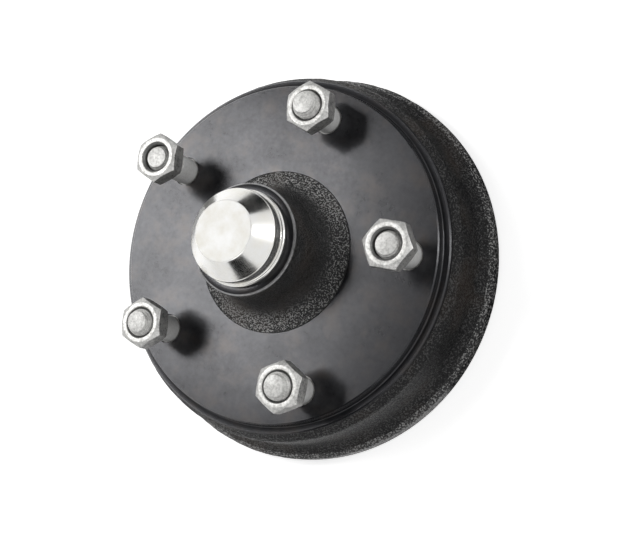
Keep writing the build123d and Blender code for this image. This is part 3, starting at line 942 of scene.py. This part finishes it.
class DRUM_OT_cap(bpy.types.Operator):
    """Press the grease cap from sheet"""

    bl_idname = "drum.cap"
    bl_label = "Grease cap"

    def execute(self, context):
        s = context.scene.drum_cap
        nose = context.scene.drum_casting.nose_top
        bead_top = nose + s.bead_height
        shoulder = nose + s.shoulder
        end = nose + s.height
        inside = s.skirt_radius - s.sheet
        # The cone turns in by about 45 degrees, and the inside follows at the sheet's thickness.
        slant = s.sheet * tan(radians(45 / 2))
        outline = draw_outline(
            [
                (0.0, end),
                (s.end_radius, end, s.end_round, 6),
                (s.body_radius, shoulder, s.shoulder_round, 6),
                (s.body_radius, bead_top + s.bead_neck, 0.3 * MM, 2),
                (s.body_radius - s.bead_neck, bead_top, 0.2 * MM, 2),
                (s.bead_radius, bead_top - s.bead_neck, 1.2 * MM, 6),
                (s.bead_radius, nose, 1.2 * MM, 6),
                (s.skirt_radius, nose),
                (s.skirt_radius, s.skirt_end + 0.6 * MM),
                (s.skirt_radius - 0.6 * MM, s.skirt_end),
                (inside, s.skirt_end),
                (inside, shoulder - slant, s.end_round, 4),
                (s.end_radius - slant, end - s.sheet),
                (0.0, end - s.sheet),
            ],
            closed=False,
        )
        divide_outline(outline, lambda radius, height: 1.6 * MM if height > nose else 8 * MM)
        solid = turn_outline(outline, 288)

        def wave_weight(point):
            """Waves above the bead, fading to none at the pole in the cap's middle."""
            return fade(off_axis(point), 0.3 * MM, 4 * MM) if point.z > bead_top else 0.0

        roughen(solid, ((s.wave_size, s.wave_depth, 1.7),), wave_weight)
        finishes = [
            bright_zinc("bright_zinc", low=0.16, high=0.26),
            bright_zinc("scuffed_zinc", low=0.68, high=0.80),
        ]
        bright, scuffed = range(len(finishes))
        for face in solid.faces:
            middle = face.calc_center_median()
            on_end = middle.z > end - 0.3 * MM and off_axis(middle) < s.end_radius
            face.material_index = scuffed if on_end else bright
        cap = new_object(solid, "cap")
        finish_piece(cap, finishes, "grease_cap", crease=32)
        return {"FINISHED"}


class DRUM_OT_bearings(bpy.types.Operator):
    """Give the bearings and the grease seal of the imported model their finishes"""

    bl_idname = "drum.bearings"
    bl_label = "Bearings and seal"

    def execute(self, context):
        colours = context.scene.drum_finishes
        ground = plain_metal("ground_steel", colours.steel, 0.14, 0.24, 0.8 * MM, 0.003 * MM)
        cage = plain_metal("cage_steel", colours.cage, 0.28, 0.42, 0.5 * MM, 0.008 * MM)
        case = plain_metal("seal_case_steel", colours.seal, 0.24, 0.38, 0.7 * MM, 0.006 * MM)
        dressed = {"seal_case": case, "seal_spring": cage, "seal_lip": seal_rubber()}
        for bearing in ("outer_bearing", "inner_bearing"):
            for piece in ("cup", "cone", "rollers"):
                dressed[f"{bearing}_{piece}"] = ground
            dressed[f"{bearing}_cage"] = cage
        for name, finish in dressed.items():
            for material_slot in nodes[name].material_slots:
                material_slot.material = finish
        return {"FINISHED"}


# Studio


def aim(place, target, up=UP):
    """Placement of a camera or lamp that looks from a place at a target."""
    back = (Vector(place) - Vector(target)).normalized()
    side = Vector(up).cross(back).normalized()
    over = back.cross(side)
    turned = Matrix((side, over, back)).transposed().to_4x4()
    return Matrix.Translation(Vector(place)) @ turned


def direction(azimuth, elevation, distance):
    """Way from the object's middle, with angles in degrees and azimuth from +X towards +Y."""
    turn, rise = radians(azimuth), radians(elevation)
    return distance * Vector((cos(turn) * cos(rise), sin(turn) * cos(rise), sin(rise)))


def add_lamp(name, place, target, size, power):
    """A rectangular soft lamp."""
    lamp = bpy.data.lights.new(name, "AREA")
    lamp.shape = "RECTANGLE"
    lamp.size, lamp.size_y = size
    lamp.energy = power
    made = bpy.data.objects.new(name, lamp)
    made.matrix_world = aim(place, target)
    bpy.context.scene.collection.objects.link(made)


def add_sheet(name, size, placing, finish):
    """A flat rectangle of the stage, about the middle of its placing."""
    sheet = bmesh.new()
    bmesh.ops.create_grid(sheet, x_segments=1, y_segments=1, size=0.5)
    bmesh.ops.scale(sheet, vec=(*size, 1.0), verts=sheet.verts[:])
    bmesh.ops.transform(sheet, matrix=placing, verts=sheet.verts[:])
    made = new_object(sheet, name)
    made.data.materials.append(finish.material)
    return made


def add_card(name, place, target, size, up=UP):
    """A black card that only reflections show."""
    black = Finish(
        "card_black", Base_Color=(0.0, 0.0, 0.0), Roughness=1.0, Specular_IOR_Level=0.0
    )
    card = add_sheet(name, size, aim(place, target, up), black)
    card.visible_camera = card.visible_diffuse = card.visible_shadow = False


def seen_or_mirrored(tree):
    """1 for camera, glossy and transmission rays, else 0."""
    path = tree.nodes.new("ShaderNodeLightPath")
    total = path.outputs["Is Camera Ray"]
    for output in ("Is Glossy Ray", "Is Transmission Ray"):
        either = tree.nodes.new("ShaderNodeMath")
        either.operation = "MAXIMUM"
        tree.links.new(total, either.inputs[0])
        tree.links.new(path.outputs[output], either.inputs[1])
        total = either.outputs[0]
    return total


class DRUM_OT_studio(bpy.types.Operator):
    """Set up floor, room, lamps and camera"""

    bl_idname = "drum.studio"
    bl_label = "Studio"

    def execute(self, context):
        scene = context.scene
        s = scene.drum_studio

        paper = Finish(
            "floor_paper", Base_Color=s.floor, Roughness=0.9, Specular_IOR_Level=0.0,
            Emission_Color=(1.0, 1.0, 1.0),
        )
        glow = paper.span(seen_or_mirrored(paper.tree), 0.0, 1.0, 0.0, 0.7)
        paper.set(paper.shader, "Emission Strength", glow)
        # From below the floor is clear, so that the open side of the drum can be seen.
        underside = paper.add("ShaderNodeNewGeometry", "Backfacing", {})
        paper.set(paper.shader, "Alpha", paper.span(underside, 0.0, 1.0, 1.0, 0.0))
        add_sheet("floor", (12.0, 12.0), Matrix.Identity(4), paper)

        room = bpy.data.worlds.new("white_room")
        room.use_nodes = True
        background = room.node_tree.nodes["Background"]
        background.inputs["Color"].default_value = (1.0, 1.0, 1.0, 1.0)
        level = room.node_tree.nodes.new("ShaderNodeMapRange")
        level.inputs["To Min"].default_value = s.surroundings
        level.inputs["To Max"].default_value = 1.0
        room.node_tree.links.new(seen_or_mirrored(room.node_tree), level.inputs["Value"])
        room.node_tree.links.new(level.outputs[0], background.inputs["Strength"])
        scene.world = room

        middle = Vector((0, 0, 0.06))
        add_lamp("key", Vector((-0.63, -0.017, 0.969)), middle, (0.46, 0.46), s.key_power)
        add_lamp("rim", direction(32, 22, 0.9) + middle, middle, (0.20, 0.16), s.rim_power)
        add_lamp("fill", direction(-60, 50, 1.1) + middle, middle, (0.5, 0.5), s.fill_power)
        # Two cards darken parts of the cap's cone, one the face's far side, the mat the shell.
        add_card("card_top", direction(96, 6, 0.8) + middle, middle, (0.60, 0.50))
        add_card("card_bottom", direction(-62, 13, 0.8) + middle, middle, (0.56, 0.50))
        add_card("card_over", Vector((-0.5, 0.0, 1.5)), middle, (1.9, 1.9))
        mat = Vector((0.13, 0.08, 0.0))
        add_card("mat", mat + 0.3 * MM * UP, mat, (0.26, 0.24), Vector((0, 1, 0)))

        camera = bpy.data.cameras.new("camera")
        camera.lens = s.lens
        camera.sensor_width = 36.0
        made = bpy.data.objects.new("camera", camera)
        made.matrix_world = aim(s.camera_place, s.camera_target, s.camera_up)
        scene.collection.objects.link(made)
        scene.camera = made
        scene.view_settings.view_transform = "Standard"
        return {"FINISHED"}


class DRUM_PT_panel(bpy.types.Panel):
    """Steps that dress the brake drum"""

    bl_idname = "DRUM_PT_panel"
    bl_label = "Brake Drum"
    bl_space_type = "VIEW_3D"
    bl_region_type = "UI"
    bl_category = "Brake Drum"

    def draw(self, context):
        for operator in OPERATORS:
            self.layout.operator(operator.bl_idname)


GROUPS = {
    "drum_casting": CastingSizes,
    "drum_fasteners": FastenerSizes,
    "drum_cap": CapSizes,
    "drum_finishes": Finishes,
    "drum_studio": StudioSettings,
}
OPERATORS = (
    DRUM_OT_casting, DRUM_OT_studs, DRUM_OT_nuts, DRUM_OT_cap, DRUM_OT_bearings, DRUM_OT_studio,
)


def register():
    for name, group in GROUPS.items():
        bpy.utils.register_class(group)
        setattr(bpy.types.Scene, name, bpy.props.PointerProperty(type=group))
    for operator in OPERATORS:
        bpy.utils.register_class(operator)
    bpy.utils.register_class(DRUM_PT_panel)


def unregister():
    bpy.utils.unregister_class(DRUM_PT_panel)
    for operator in reversed(OPERATORS):
        bpy.utils.unregister_class(operator)
    for name, group in GROUPS.items():
        delattr(bpy.types.Scene, name)
        bpy.utils.unregister_class(group)


def main():
    register()
    bpy.ops.drum.casting()
    bpy.ops.drum.studs()
    bpy.ops.drum.nuts()
    bpy.ops.drum.cap()
    bpy.ops.drum.bearings()
    bpy.ops.drum.studio()


if __name__ == "__main__":
    main()
